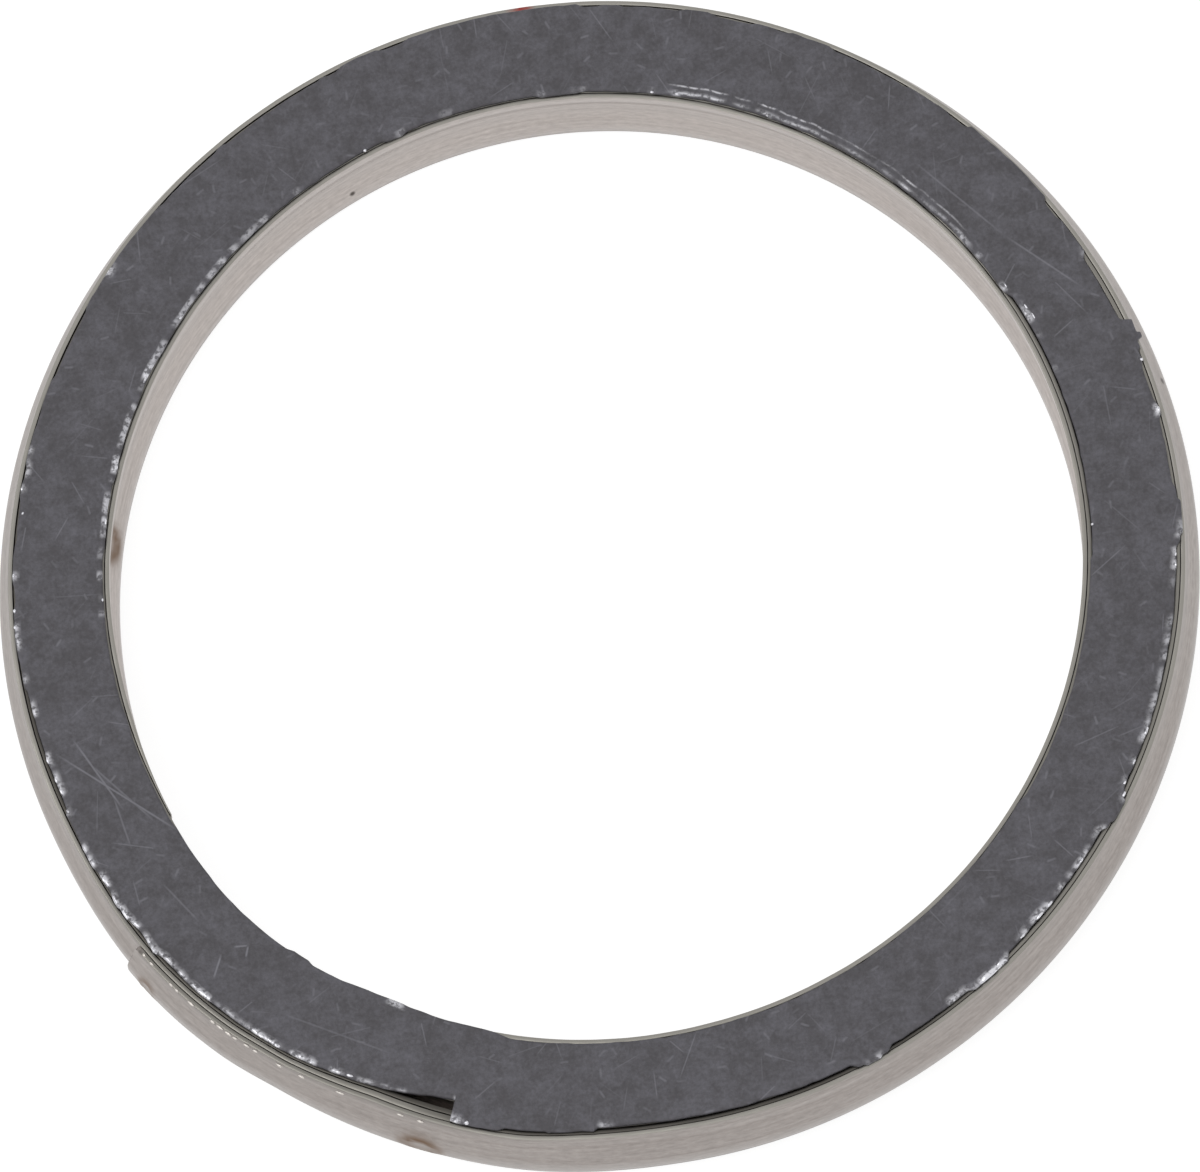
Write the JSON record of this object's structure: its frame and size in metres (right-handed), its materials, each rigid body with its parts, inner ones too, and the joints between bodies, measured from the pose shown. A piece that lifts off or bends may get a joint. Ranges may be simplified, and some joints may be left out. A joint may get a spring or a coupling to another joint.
{
  "type": "exhaust gasket",
  "caption": "Round spiral-wound exhaust gasket ring: a thin rolled steel strip wound with graphite tape, flat graphite sealing faces and a plain steel outer wall.",
  "frame": {"origin": "centre of the bore on the lower graphite face, on which the ring rests", "axes": "+Z along the bore axis, up through the ring; the outer end of the winding is at the lower left seen from above, near 206 degrees from +X"},
  "size_m": [0.0446, 0.0446, 0.004],
  "materials": {
    "stainless_strip": "cold-rolled stainless strip, satin",
    "graphite": "pressed flexible graphite, dull dark grey"
  },
  "bodies": {
    "root": {"steel_strip": "stainless_strip", "graphite_filler": "graphite"}
  },
  "joints": []
}
